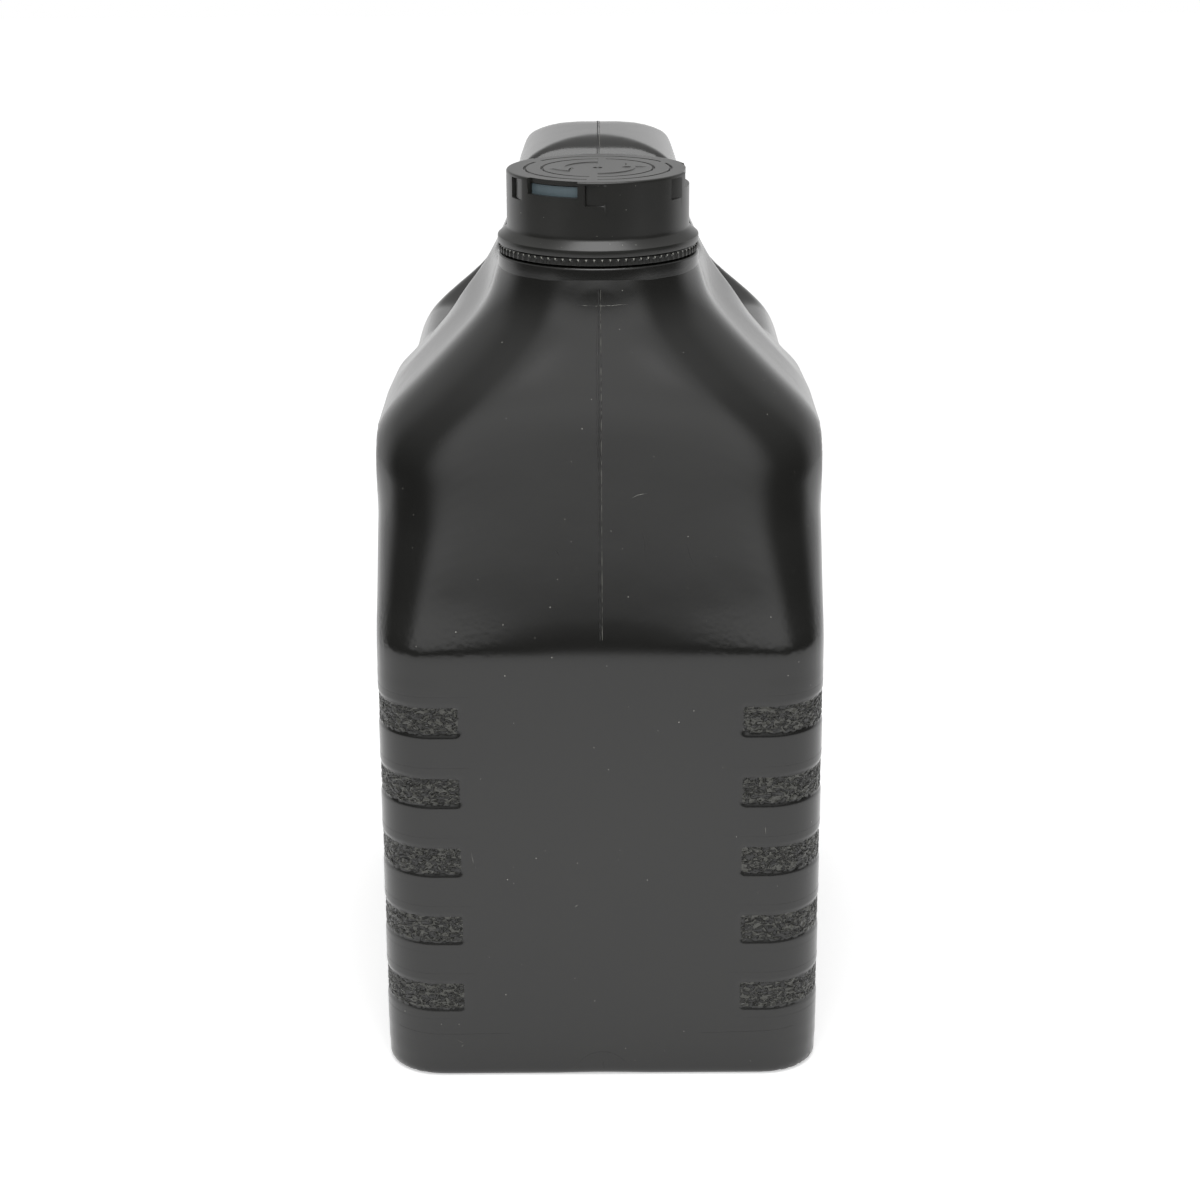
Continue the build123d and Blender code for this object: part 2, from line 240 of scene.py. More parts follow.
def grainedHdpe():
    material, tree = newMaterial("black_hdpe_leather_grained")
    place = addNode(tree, "TexCoord").outputs["Object"]
    flat = addNode(tree, "Mapping", {"Vector": place, "Scale": (1.0, 1.0, grainedSet["wrinkleFlat"])})
    wrinkle = addNode(tree, "TexNoise", {"Vector": flat, "Scale": perMetre(grainedSet["wrinkleSize"]),
                                         "Detail": grainedSet["wrinkleDetail"],
                                         "Distortion": grainedSet["wrinkleTwist"]})
    fine = addNode(tree, "TexNoise", {"Vector": place, "Scale": perMetre(grainedSet["fineSize"]),
                                      "Detail": 2.0})
    raised = addNode(tree, "MapRange", {"Value": wrinkle, "From Min": grainedSet["crackLow"],
                                        "From Max": grainedSet["crackHigh"]}, interpolation_type="SMOOTHSTEP")
    colour = addNode(tree, "Mix", {"Factor": raised, "A": hexColour(grainedSet["black"]),
                                   "B": hexColour(grainedSet["worn"])}, data_type="RGBA")
    normal = bumpChain(tree, [(raised, grainedSet["wrinkleDepth"]), (fine, grainedSet["fineDepth"])])
    shader = addNode(tree, "BsdfPrincipled", {"Base Color": colour.outputs["Result"],
                                              "Roughness": grainedSet["roughness"],
                                              "IOR": blownSet["ior"], "Normal": normal})
    addNode(tree, "OutputMaterial", {"Surface": shader})
    return material


# Black polypropylene, injection moulded: crisper and a little glossier than the blown body
closureSet = {
    "black": "#171716", "worn": "#22221f", "dust": "#a9a9a2", "roughness": 0.31, "ior": 1.49,
    "wearSize": 14.0, "dustSpacing": 3.2, "dustRadius": 0.13,
    "grainSize": 0.6, "grainDepth": 0.006,       # drawn coarser than the real one
}


def mouldedPolypropylene():
    material, tree = newMaterial("black_polypropylene_moulded")
    place = addNode(tree, "TexCoord").outputs["Object"]
    wear = addNode(tree, "TexNoise", {"Vector": place, "Scale": perMetre(closureSet["wearSize"]),
                                      "Detail": 4.0})
    body = addNode(tree, "Mix", {"Factor": wear, "A": hexColour(closureSet["black"]),
                                 "B": hexColour(closureSet["worn"])}, data_type="RGBA")
    specks = addNode(tree, "TexVoronoi", {"Vector": place, "Scale": perMetre(closureSet["dustSpacing"])})
    reach = closureSet["dustRadius"] / closureSet["dustSpacing"]
    dust = addNode(tree, "MapRange", {"Value": specks.outputs["Distance"], "From Min": reach,
                                      "From Max": reach / 2}, interpolation_type="SMOOTHSTEP")
    colour = addNode(tree, "Mix", {"Factor": dust, "A": body.outputs["Result"],
                                   "B": hexColour(closureSet["dust"])}, data_type="RGBA")
    grain = addNode(tree, "TexNoise", {"Vector": place, "Scale": perMetre(closureSet["grainSize"]),
                                       "Detail": 2.0})
    normal = bumpChain(tree, [(grain, closureSet["grainDepth"])])
    shader = addNode(tree, "BsdfPrincipled", {"Base Color": colour.outputs["Result"],
                                              "Roughness": closureSet["roughness"],
                                              "IOR": closureSet["ior"], "Normal": normal})
    addNode(tree, "OutputMaterial", {"Surface": shader})
    return material


# Grey-blue polyethylene, injection moulded: waxy and slightly translucent, with faint drawn lines
innerSet = {
    "grey": "#66757b", "shade": "#57656b", "roughness": 0.4, "ior": 1.51,
    "lineSize": 1.4, "lineDepth": 0.04, "lineStretch": 0.08,
}


def waxyPolyethylene():
    material, tree = newMaterial("grey_polyethylene_moulded")
    place = addNode(tree, "TexCoord").outputs["Object"]
    drawn = addNode(tree, "Mapping", {"Vector": place, "Scale": (1.0, 1.0, innerSet["lineStretch"])})
    lines = addNode(tree, "TexNoise", {"Vector": drawn, "Scale": perMetre(innerSet["lineSize"]),
                                       "Detail": 2.0})
    colour = addNode(tree, "Mix", {"Factor": lines, "A": hexColour(innerSet["shade"]),
                                   "B": hexColour(innerSet["grey"])}, data_type="RGBA")
    normal = bumpChain(tree, [(lines, innerSet["lineDepth"])])
    shader = addNode(tree, "BsdfPrincipled", {"Base Color": colour.outputs["Result"],
                                              "Roughness": innerSet["roughness"],
                                              "IOR": innerSet["ior"], "Normal": normal})
    addNode(tree, "OutputMaterial", {"Surface": shader})
    return material


# White foamed polyethylene wad: matt, with open cells on its face
foamSet = {"white": "#dedcd4", "roughness": 0.75, "cellSize": 0.5, "cellDepth": 0.05}


def foamedWad():
    material, tree = newMaterial("white_polyethylene_foamed")
    place = addNode(tree, "TexCoord").outputs["Object"]
    cells = addNode(tree, "TexVoronoi", {"Vector": place, "Scale": perMetre(foamSet["cellSize"])})
    normal = bumpChain(tree, [(cells.outputs["Distance"], foamSet["cellDepth"])])
    shader = addNode(tree, "BsdfPrincipled", {"Base Color": hexColour(foamSet["white"]),
                                              "Roughness": foamSet["roughness"], "Normal": normal})
    addNode(tree, "OutputMaterial", {"Surface": shader})
    return material


# Black plastic where something rubbed it: it whitens to grey and loses its gloss; the same maker also draws
# the dull pale and dark ribbons that are painted highlight and painted shadow
scuffAndPaintedLightSet = {
    "pale": "#9a9a93", "grey": "#62625c", "dark": "#090908", "roughness": 0.6, "breakSize": 1.6,
    "broken": (0.35, 0.6), "nearlyWhole": (0.15, 0.4),
}


def scuffsAndPaintedLight(name, colour, breakRange):
    material, tree = newMaterial(name)
    place = addNode(tree, "TexCoord").outputs["Object"]
    breaks = addNode(tree, "TexNoise", {"Vector": place, "Scale": perMetre(scuffAndPaintedLightSet["breakSize"]),
                                        "Detail": 3.0})
    # where this mask is high the given colour shows: a real scuff on the pale scuff strokes, painted
    # highlight on the parting step and rib tips, painted shadow on the shut line and dark strokes
    worn = addNode(tree, "MapRange", {"Value": breaks, "From Min": breakRange[0], "From Max": breakRange[1]},
                   interpolation_type="SMOOTHSTEP")
    shown = addNode(tree, "Mix", {"Factor": worn, "A": hexColour(blownSet["black"]),
                                  "B": hexColour(colour)}, data_type="RGBA")
    shader = addNode(tree, "BsdfPrincipled", {"Base Color": shown.outputs["Result"],
                                              "Roughness": scuffAndPaintedLightSet["roughness"], "IOR": blownSet["ior"]})
    addNode(tree, "OutputMaterial", {"Surface": shader})
    return material


blackHdpe = blownHdpe()
leatheryHdpe = grainedHdpe()
blackPolypropylene = mouldedPolypropylene()
greyPolyethylene = waxyPolyethylene()
whiteFoam = foamedWad()
# the pale scuffs are the plastic's own; the grey material and the second pale one are painted highlight, the
# dark one painted shadow
paleScuff = scuffsAndPaintedLight("pale_hdpe_scuffed", scuffAndPaintedLightSet["pale"], scuffAndPaintedLightSet["broken"])
paintedHighlightGrey = scuffsAndPaintedLight("grey_hdpe_painted_highlight", scuffAndPaintedLightSet["grey"], scuffAndPaintedLightSet["broken"])
paintedShadowDark = scuffsAndPaintedLight("dark_hdpe_painted_shade", scuffAndPaintedLightSet["dark"], scuffAndPaintedLightSet["broken"])
ribTipHighlight = scuffsAndPaintedLight("pale_polypropylene_painted_highlight", scuffAndPaintedLightSet["pale"], scuffAndPaintedLightSet["nearlyWhole"])
print("materials ready")


# Body skin: the moulding's outside, its blends softened as blown plastic has them
skinSet = {
    "voxel": 1.4, "passes": 8, "softPasses": 6, "softFrom": 140.0, "softFull": 175.0, "smoothing": 0.5,
    "cornerRadius": 17.0, "barProud": 0.7, "prismTop": 131.0, "prismFoot": 7.0,
    "footRadius": 6.0, "footPower": 7.0, "flatFoot": 12.0, "flatTop": 127.0, "wallReach": 1.5,
    "waist": 0.065, "waistLow": 194.0, "waistHigh": 226.0, "waistRise": 11.0, "waistFade": 13.0,
    "waistFrom": -15.0, "waistFull": 20.0, "waistFall": 15.0, "fallFrom": 10.0, "fallFull": 70.0,
    "fuller": 2.0, "fullerLow": 168.0, "fullerMiddle": 187.0, "fullerHigh": 210.0,
    "fullerIn": 35.0, "fullerOut": 58.0, "fullerFront": -20.0, "fullerBack": 30.0,
    "crestFrom": 256.0, "crestDrop": 0.07,
    "mouthReach": 25.5, "collarTop": 242.9, "mouthFloor": 226.0,
}
halfWidth = bodyHigh.x / mm - skinSet["barProud"]
halfDepth = bodyHigh.y / mm - skinSet["barProud"]


def cornerExcess(x, y):
    # how far a point in plan stands proud of the body's rounded rectangle, in millimetres
    radius = skinSet["cornerRadius"]
    dx = abs(x) - (halfWidth - radius)
    dy = abs(y) - (halfDepth - radius)
    if dx > 0 and dy > 0:
        reach = math.hypot(dx, dy)
        return reach - radius, Vector((math.copysign(dx / reach, x), math.copysign(dy / reach, y)))
    if dx > dy:
        return dx - radius, Vector((math.copysign(1, x), 0))
    return dy - radius, Vector((0, math.copysign(1, y)))


# Grip pads: five levels pressed into each corner, their floors creased like old leather
padSet = {
    "levels": 5, "first": 23.0, "pitch": 22.2, "height": 8.2, "frontReach": 7.5, "sideReach": 9.0,
    "step": 0.36, "margin": 3.4, "over": 0.02, "depth": 0.4, "edgeOut": 1.6, "edgeIn": 0.4, "endRadius": 1.3,
    "creaseLong": 2.2, "creaseHigh": 1.1, "creaseDepth": 1.0, "seed": 7.3,
    "warpLong": 4.0, "warpHigh": 3.0, "warpShare": 1.5, "creaseTop": 0.5, "creaseMiddle": 0.3,
    "skinSink": 1.6, "skinFrom": 1.4,
}
cornerArc = math.pi * skinSet["cornerRadius"] / 2
padLength = padSet["frontReach"] + cornerArc + padSet["sideReach"]


def cornerPoint(run):
    # along a corner from the end face's flat, round the arc and on along the side; x, y and the outward way
    radius = skinSet["cornerRadius"]
    cx, cy = halfWidth - radius, halfDepth - radius
    if run < padSet["frontReach"]:
        return cx - padSet["frontReach"] + run, halfDepth, 0.0, 1.0
    if run < padSet["frontReach"] + cornerArc:
        turn = (run - padSet["frontReach"]) / radius
        return cx + radius * math.sin(turn), cy + radius * math.cos(turn), math.sin(turn), math.cos(turn)
    return halfWidth, cy - (run - padSet["frontReach"] - cornerArc), 1.0, 0.0


def cornerRun(x, y):
    # the same way back: how far along its corner a point of the wall lies
    radius = skinSet["cornerRadius"]
    dx = abs(x) - (halfWidth - radius)
    dy = abs(y) - (halfDepth - radius)
    if dx < 0:
        return padSet["frontReach"] + dx
    if dy < 0:
        return padSet["frontReach"] + cornerArc - dy
    return padSet["frontReach"] + radius * math.atan2(dx, dy)


def padInside(run, rise):
    # distance inside a pad's outline, whose four corners are rounded; negative outside
    radius = padSet["endRadius"]
    dx = abs(run - padLength / 2) - padLength / 2 + radius
    dz = abs(rise - padSet["height"] / 2) - padSet["height"] / 2 + radius
    return radius - math.hypot(max(dx, 0), max(dz, 0)) - min(max(dx, dz), 0)


def padLift(run, rise, seed):
    inside = padInside(run, rise)
    lift = padSet["over"] - padSet["depth"] * ease(inside, -padSet["edgeOut"], padSet["edgeIn"])
    warp = noise.noise(Vector((run / padSet["warpLong"], rise / padSet["warpHigh"], seed + 5)))
    high = rise / padSet["creaseHigh"] + padSet["warpShare"] * warp
    at = Vector((run / padSet["creaseLong"] + warp, high, seed))
    crease = min(abs(noise.noise(at)) + 0.5 * abs(noise.noise(at * 2.1)), padSet["creaseTop"])
    return lift + padSet["creaseDepth"] * (crease - padSet["creaseMiddle"]) * ease(inside, -0.1, 0.3)


def padSteps(length):
    # fine steps over the pad and its edges, with one coarse step out to the margin at either end
    reach = padSet["edgeOut"] + 0.1
    count = round((length + 2 * reach) / padSet["step"])
    fine = [-reach + (length + 2 * reach) * k / count for k in range(count + 1)]
    return [-padSet["margin"], *fine, length + padSet["margin"]]


def gripPads():
    runs = padSteps(padLength)
    rises = padSteps(padSet["height"])
    points = []
    faces = []
    grained = []
    for level in range(padSet["levels"]):
        foot = padSet["first"] + level * padSet["pitch"]
        for quarter, (signX, signY) in enumerate(((1, -1), (-1, -1), (1, 1), (-1, 1))):
            seed = padSet["seed"] + 11 * level + 3 * quarter
            base = len(points)
            for run in runs:
                x, y, outX, outY = cornerPoint(run)
                for rise in rises:
                    lift = padLift(run, rise, seed)
                    across, along = signX * (x + outX * lift), signY * (y + outY * lift)
                    points.append((across * mm, along * mm, (foot + rise) * mm))
            for i in range(len(runs) - 1):
                for j in range(len(rises) - 1):
                    a = base + i * len(rises) + j
                    quad = (a, a + len(rises), a + len(rises) + 1, a + 1)
                    faces.append(quad if signX * signY < 0 else quad[::-1])
                    middle = padInside((runs[i] + runs[i + 1]) / 2, (rises[j] + rises[j + 1]) / 2)
                    grained.append(middle > 0)
    return newMesh("grip_pads", points, faces), grained


def outerSkin():
    # the moulding's outside alone: opened at the lip, freed of its inner wall, closed again below the mouth
    mesh = bmesh.new()
    mesh.from_mesh(nodes["bottle_body"].data)
    bmesh.ops.remove_doubles(mesh, verts=mesh.verts, dist=0.002 * mm)
    mouthReach = skinSet["mouthReach"] * mm

    def fromNeck(spot):
        return math.hypot(spot.x, spot.y - neckY)

    mouthTop = max(v.co.z for v in mesh.verts if fromNeck(v.co) < 0.9 * mouthReach)
    lip = [f for f in mesh.faces if all(v.co.z > mouthTop - 0.05 * mm for v in f.verts)
           and fromNeck(f.calc_center_median()) < mouthReach]
    bmesh.ops.delete(mesh, geom=lip, context="FACES")
    mesh.verts.ensure_lookup_table()
    found = {min(mesh.verts, key=lambda v: v.co.z)}
    front = list(found)
    while front:
        vert = front.pop()
        for edge in vert.link_edges:
            other = edge.other_vert(vert)
            if other not in found:
                found.add(other)
                front.append(other)
    bmesh.ops.delete(mesh, geom=[v for v in mesh.verts if v not in found], context="VERTS")
    openEdges = [e for e in mesh.edges if e.is_boundary]
    bmesh.ops.holes_fill(mesh, edges=openEdges)
    for vert in mesh.verts:
        x, y, z = vert.co / mm
        if math.hypot(x, y - neckY / mm) < skinSet["mouthReach"] and z > skinSet["collarTop"] + 0.05:
            vert.co.z = skinSet["mouthFloor"] * mm
        elif skinSet["prismFoot"] < z < skinSet["prismTop"]:
            excess, outward = cornerExcess(x, y)
            if excess > 0.02:
                vert.co.xy = vert.co.xy - outward * excess * mm
    data = bpy.data.meshes.new("bottle_skin")
    mesh.to_mesh(data)
    mesh.free()
    return data


def sharpenFoot(vert, depth):
    # the base edge is tighter than the softened one: its quarter circle is pushed out towards the corner
    radius = skinSet["footRadius"]
    across, down = (radius - depth) / radius, (radius - vert.co.z / mm) / radius
    reach = math.hypot(across, down)
    power = skinSet["footPower"]
    push = ((across / reach) ** power + (down / reach) ** power) ** (-1 / power)
    return radius * (1 - across * push), radius * (1 - down * push)


def settle(vert):
    # gives a point of the skin its last place: waist, flanks, crest, foot, then the lower body's true wall
    x, y, z = vert.co / mm
    excess, outward = cornerExcess(x, y)
    waistLow = skinSet["waistLow"] - skinSet["waistFall"] * ease(y, skinSet["fallFrom"], skinSet["fallFull"])
    waistHigh = skinSet["waistHigh"]
    if waistLow < z < waistHigh:
        # behind the neck the shoulders draw in a little, so that the finger hole stays hidden from the front
        share = ease(z, waistLow, waistLow + skinSet["waistRise"])
        share *= 1 - ease(z, waistHigh - skinSet["waistFade"], waistHigh)
        vert.co.x *= 1 - skinSet["waist"] * share * ease(y, skinSet["waistFrom"], skinSet["waistFull"])
    if skinSet["fullerLow"] < z < skinSet["fullerHigh"]:
        # the front flanks run nearly upright for a little longer before they turn in
        share = ease(z, skinSet["fullerLow"], skinSet["fullerMiddle"])
        share *= ease(z, skinSet["fullerHigh"], skinSet["fullerMiddle"])
        share *= 1 - ease(y, skinSet["fullerFront"], skinSet["fullerBack"])
        wide = abs(x) + skinSet["fuller"] * share * ease(abs(x), skinSet["fullerIn"], skinSet["fullerOut"])
        vert.co.x *= min(wide, halfWidth) / max(abs(x), 1.0)
    if z > skinSet["crestFrom"] and y > 0:
        vert.co.z -= skinSet["crestDrop"] * (z - skinSet["crestFrom"]) * mm
    if z < skinSet["footRadius"] and -excess < skinSet["footRadius"]:
        depth, height = sharpenFoot(vert, max(-excess, 0.0))
        vert.co.xy = vert.co.xy - outward * (depth + excess) * mm
        vert.co.z = height * mm
    if skinSet["flatFoot"] < z < skinSet["flatTop"] and abs(excess) < skinSet["wallReach"]:
        # where a pad lies over the wall, the skin sinks under it
        level = round((z - padSet["first"] - padSet["height"] / 2) / padSet["pitch"])
        rise = z - padSet["first"] - min(max(level, 0), padSet["levels"] - 1) * padSet["pitch"]
        sunk = padSet["skinSink"] if padInside(cornerRun(x, y), rise) > -padSet["skinFrom"] else 0.0
        vert.co.xy = vert.co.xy - outward * (excess + sunk) * mm


def softenedSkin():
    work = bpy.data.objects.new("skin_work", outerSkin())
    bpy.context.scene.collection.objects.link(work)
    remesh = work.modifiers.new("remesh", "REMESH")
    remesh.mode = "VOXEL"
    remesh.voxel_size = skinSet["voxel"] * mm
    work.data = applied(work)
    work.modifiers.clear()
    group = work.vertex_groups.new(name="soft")
    for vert in work.data.vertices:
        z = vert.co.z / mm
        weight = (z - skinSet["softFrom"]) / (skinSet["softFull"] - skinSet["softFrom"])
        group.add([vert.index], min(max(weight, 0.0), 1.0), "REPLACE")
    even = work.modifiers.new("even", "SMOOTH")
    even.factor = skinSet["smoothing"]
    even.iterations = skinSet["passes"]
    soft = work.modifiers.new("soft", "SMOOTH")
    soft.factor = skinSet["smoothing"]
    soft.iterations = skinSet["softPasses"]
    soft.vertex_group = "soft"
    data = applied(work)
    bpy.data.objects.remove(work)
    data.name = "bottle_skin"
    for vert in data.vertices:
        settle(vert)
    return data


skinMesh = softenedSkin()
bottleSkin = addPiece("bottle_skin", skinMesh, "bottle", blackHdpe)
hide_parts("bottle_body")
skinTree = BVHTree.FromPolygons([v.co for v in skinMesh.vertices], [p.vertices for p in skinMesh.polygons])
print("body skin:", len(skinMesh.polygons), "faces")


padMesh, padGrained = gripPads()
gripPiece = addPiece("grip_pads", padMesh, "bottle", blackHdpe)
gripPiece.data.materials.append(leatheryHdpe)
for face, grained in zip(padMesh.polygons, padGrained):
    face.material_index = int(grained)
print("grip pads:", len(padMesh.polygons), "faces")


# Neck finish: crisp collar, finish wall, bead and thread, turned on the neck's axis
neckSet = {
    "columns": 360, "collar": 29.85, "foot": 237.6, "collarTop": 242.95, "edge": 0.6,
    "finish": 21.9, "bore": 19.95, "top": 262.9, "boreFoot": 229.0,
    "bead": 24.3, "beadFoot": 245.2, "beadHeight": 1.2,
    "threadFoot": 249.3, "threadRise": 7.2, "pitch": 4.5, "threadDepth": 1.4,
    "threadRoot": 1.1, "threadCrest": 0.5, "threadEnd": 0.3, "rowStep": 0.3,
}


def threadHeight(angle, z):
    # height of the helical ridge above the finish wall
    climb = angle / 360 * neckSet["pitch"]
    turns = round((z - neckSet["threadFoot"] - climb) / neckSet["pitch"])
    middle = neckSet["threadFoot"] + climb + turns * neckSet["pitch"]
    rise = middle - neckSet["threadFoot"]
    if rise < 0 or rise > neckSet["threadRise"]:
        return 0.0
    end = neckSet["threadEnd"]
    taper = min(ease(rise, 0, end), 1 - ease(rise, neckSet["threadRise"] - end, neckSet["threadRise"]))
    flank = 1 - ease(abs(z - middle), neckSet["threadCrest"], neckSet["threadRoot"])
    return neckSet["threadDepth"] * taper * flank


def neckFinish():
    collar, edge, collarTop = neckSet["collar"], neckSet["edge"], neckSet["collarTop"]
    finish, bead, bore = neckSet["finish"], neckSet["bead"], neckSet["bore"]
    foot, beadFoot, top = neckSet["foot"], neckSet["beadFoot"], neckSet["top"]
    beadTop, threadTop = beadFoot + neckSet["beadHeight"], top - 0.5
    rows = [(collar - 0.8, foot), (collar, foot + 0.9), (collar, 240.0)]
    for step in range(7):
        turn = math.radians(15 * step)
        rows.append((collar - edge + edge * math.cos(turn), collarTop - edge + edge * math.sin(turn)))
    rows += [(26.0, collarTop), (finish + 0.3, collarTop), (finish, collarTop + 0.3), (finish, beadFoot),
             (bead - 0.3, beadFoot + 0.1), (bead, beadFoot + 0.4), (bead - 0.4, beadTop - 0.3),
             (finish, beadTop)]
    steps = round((threadTop - beadTop) / neckSet["rowStep"])
    rows += [(finish, beadTop + (threadTop - beadTop) * step / steps) for step in range(1, steps + 1)]
    rows += [(finish - 0.15, top - 0.15), (finish - 0.5, top), (bore + 0.5, top), (bore, top - 0.4),
             (bore, neckSet["boreFoot"])]

    def place(angle, row):
        # the ridge's height is nothing at all rows but those of the thread
        radius, z = row
        return radius + threadHeight(angle, z), z

    return turnedMesh("neck_finish", neckSet["columns"], rows, place)


finishMesh = neckFinish()
addPiece("neck_finish", finishMesh, "bottle", blackHdpe, sharp=40)
print("neck finish:", len(finishMesh.polygons), "faces")


# Parting line and marks: narrow ribbons laid on the skin along what a ray finds
lineSet = {
    "step": 0.5, "half": 0.55, "crest": 0.26, "sink": 0.12, "groove": 0.08, "rise": 0.14, "seed": 4.1,
    "darkHalf": 0.42, "darkLift": 0.14, "paleOff": 0.62, "paleHalf": 0.2, "paleLift": 0.12,
    "flashRagged": 1.3, "darkRagged": 1.1, "paleRagged": 5.0,
    "roughLow": 196.0, "roughHigh": 222.0, "roughIn": 8.0, "roughOut": 6.0,
    "frontLow": 140.5, "frontHigh": 237.0,
    "heartY": 40.0, "heartZ": 230.0, "overTurns": 156, "backHigh": 229.0, "backLong": 220.0, "outside": 300.0,
}


def skinHit(start, way):
    spot, normal, index, reach = skinTree.ray_cast(Vector(start), Vector(way))
    return (spot, normal) if spot else None


def onFront(x, z):
    return skinHit((x * mm, -lineSet["outside"] * mm, z * mm), (0, 1, 0))


def ribbon(points, faces, hits, across, profile):
    # profile(share) gives (sideways, outwards) in millimetres for each point across the ribbon
    base = len(points)
    width = 0
    for index, (spot, normal) in enumerate(hits):
        ahead = hits[min(index + 1, len(hits) - 1)][0] - hits[max(index - 1, 0)][0]
        side = across if across else ahead.cross(normal).normalized()
        section = profile(index / max(len(hits) - 1, 1), spot)
        width = len(section)
        for sideways, outwards in section:
            points.append(spot + side * sideways * mm + normal * outwards * mm)
    for row in range(len(hits) - 1):
        for column in range(width - 1):
            a = base + row * width + column
            faces.append((a, a + 1, a + width + 1, a + width))


def flashSection(share, spot):
    # a double ridge of flash with a groove between, rougher where it was torn off by hand
    z = spot.z / mm
    size = lineSet["flashRagged"]
    ragged = noise.noise(Vector((0.0, spot.y / mm / size, z / size + lineSet["seed"])))
    rough = ease(z, lineSet["roughLow"] - lineSet["roughIn"], lineSet["roughLow"])
    rough *= 1 - ease(z, lineSet["roughHigh"], lineSet["roughHigh"] + lineSet["roughOut"])
    half = lineSet["half"] * (1 + 0.35 * rough + 0.3 * ragged)
    crest = lineSet["crest"] * (1 + 0.4 * rough)
    shift = 0.18 * ragged * (1 + rough)
    rise = lineSet["rise"] * (1 + 0.8 * rough + 0.5 * ragged)
    sink, groove = -lineSet["sink"], -lineSet["groove"] - 0.1 * rough
    return ((shift - half, sink), (shift - crest, rise), (shift, groove),
            (shift + crest, rise), (shift + half, sink))


def darkSection(share, spot):
    # painted shadow: a dark ribbon along the shut line itself, ragged where the flash was torn off
    z = spot.z / mm
    size = lineSet["darkRagged"]
    ragged = noise.noise(Vector((1.0, spot.y / mm / size, z / size + lineSet["seed"])))
    half = lineSet["darkHalf"] * (1 + 0.9 * ragged)
    shift = 0.25 * ragged
    return (shift - half, -lineSet["sink"]), (shift, lineSet["darkLift"]), (shift + half, -lineSet["sink"])


def paleSection(share, spot):
    # painted highlight: a pale ribbon on the step beside it, where that step catches the light
    z = spot.z / mm
    size = lineSet["paleRagged"]
    half = lineSet["paleHalf"] * (0.8 + 0.5 * noise.noise(Vector((2.0, spot.y / mm / size, z / size))))
    off = lineSet["paleOff"]
    return (off - half, -lineSet["sink"]), (off, lineSet["paleLift"]), (off + half, -lineSet["sink"])


def partingLine(name, section):
    # up the front, then over the handle from behind the neck and down the back, by rays towards its middle
    points = []
    faces = []
    toX = Vector((1, 0, 0))
    rise = lineSet["frontHigh"] - lineSet["frontLow"]
    count = round(rise / lineSet["step"])
    front = [onFront(0, lineSet["frontLow"] + rise * k / count) for k in range(count + 1)]
    ribbon(points, faces, [h for h in front if h], toX, section)
    heart = Vector((0, lineSet["heartY"] * mm, lineSet["heartZ"] * mm))
    outside = lineSet["outside"] * mm
    over = []
    for turn in range(lineSet["overTurns"], -1, -1):
        way = Vector((0, math.cos(math.radians(turn)), math.sin(math.radians(turn))))
        over.append(skinHit(heart + way * outside, -way))
    for k in range(round(lineSet["backLong"] / (2 * lineSet["step"]))):
        over.append(skinHit((0, outside, (lineSet["backHigh"] - 2 * lineSet["step"] * k) * mm), (0, -1, 0)))
    ribbon(points, faces, [h for h in over if h], toX, section)
    return newMesh(name, points, faces)


# over the flash ridge go two ribbons: a dark one that is painted shadow along the shut line, and a pale one
# that is painted highlight on the step beside it
for name, section, material in (("parting_line", flashSection, blackHdpe),
                                ("parting_shut_painted_shadow", darkSection, paintedShadowDark),
                                ("parting_step_painted_highlight", paleSection, paintedHighlightGrey)):
    seamMesh = partingLine(name, section)
    addPiece(name, seamMesh, "bottle", material)
    print(name, len(seamMesh.polygons), "faces")


# Pale scuffs of handling, and dark strokes that are painted shade along dents, creases and the mould's round
# recess, on the spout end, by place across and up in millimetres
markSet = {
    "pale": (
        ((9.3, 180.2), (11.0, 181.0), (14.2, 181.5)),
        ((-6.0, 232.6), (0.0, 232.4), (8.5, 232.6)),
        ((-44.0, 71.0), (-43.2, 68.5), (-43.6, 66.5)),
        ((-38.5, 74.5), (-38.0, 71.0), (-36.8, 68.0)),
        ((-44.5, 12.5), (-42.0, 11.2), (-43.0, 9.6)),
        ((48.5, 82.0), (48.6, 79.8)),
        ((-8.0, 56.5), (-7.0, 57.2)),
    ),
    # dark strokes: painted shade laid along dents and creases in the wall, and along the pinch line at the
    # foot
    "dark": (
        ((12.0, 171.5), (12.8, 168.0), (13.0, 164.5)),
        ((25.0, 167.5), (26.0, 163.5), (27.5, 161.0)),
        ((-13.0, 166.5), (-11.5, 164.0)),
        ((-62.0, 14.6), (-45.0, 14.3), (-28.0, 14.5)),
        ((30.0, 14.4), (44.0, 14.7), (58.0, 15.4)),
    ),
    "half": 0.13, "lift": 0.05, "sink": 0.06, "step": 0.5, "wobble": 0.12,
    "recessRadius": 8.7, "recessHeight": -0.6, "pinch": ((0.4, 5.0), (0.2, 3.4), (0.6, 2.2)),
}


def stroke(points, faces, route):
    hits = []
    for (x0, z0), (x1, z1) in zip(route, route[1:]):
        count = max(2, round(math.hypot(x1 - x0, z1 - z0) / markSet["step"]))
        for k in range(count):
            x, z = x0 + k / count * (x1 - x0), z0 + k / count * (z1 - z0)
            hits.append(onFront(x, z + markSet["wobble"] * noise.noise(Vector((x, z, 2.0)))))
    hits.append(onFront(*route[-1]))

    def section(share, spot):
        half = markSet["half"] * max(math.sin(math.pi * share), 0.15)
        return (-half, -markSet["sink"]), (0.0, markSet["lift"]), (half, -markSet["sink"])

    ribbon(points, faces, [h for h in hits if h], None, section)


def markPiece(name, routes, material):
    points = []
    faces = []
    for route in routes:
        stroke(points, faces, route)
    return addPiece(name, newMesh(name, points, faces), "bottle", material)


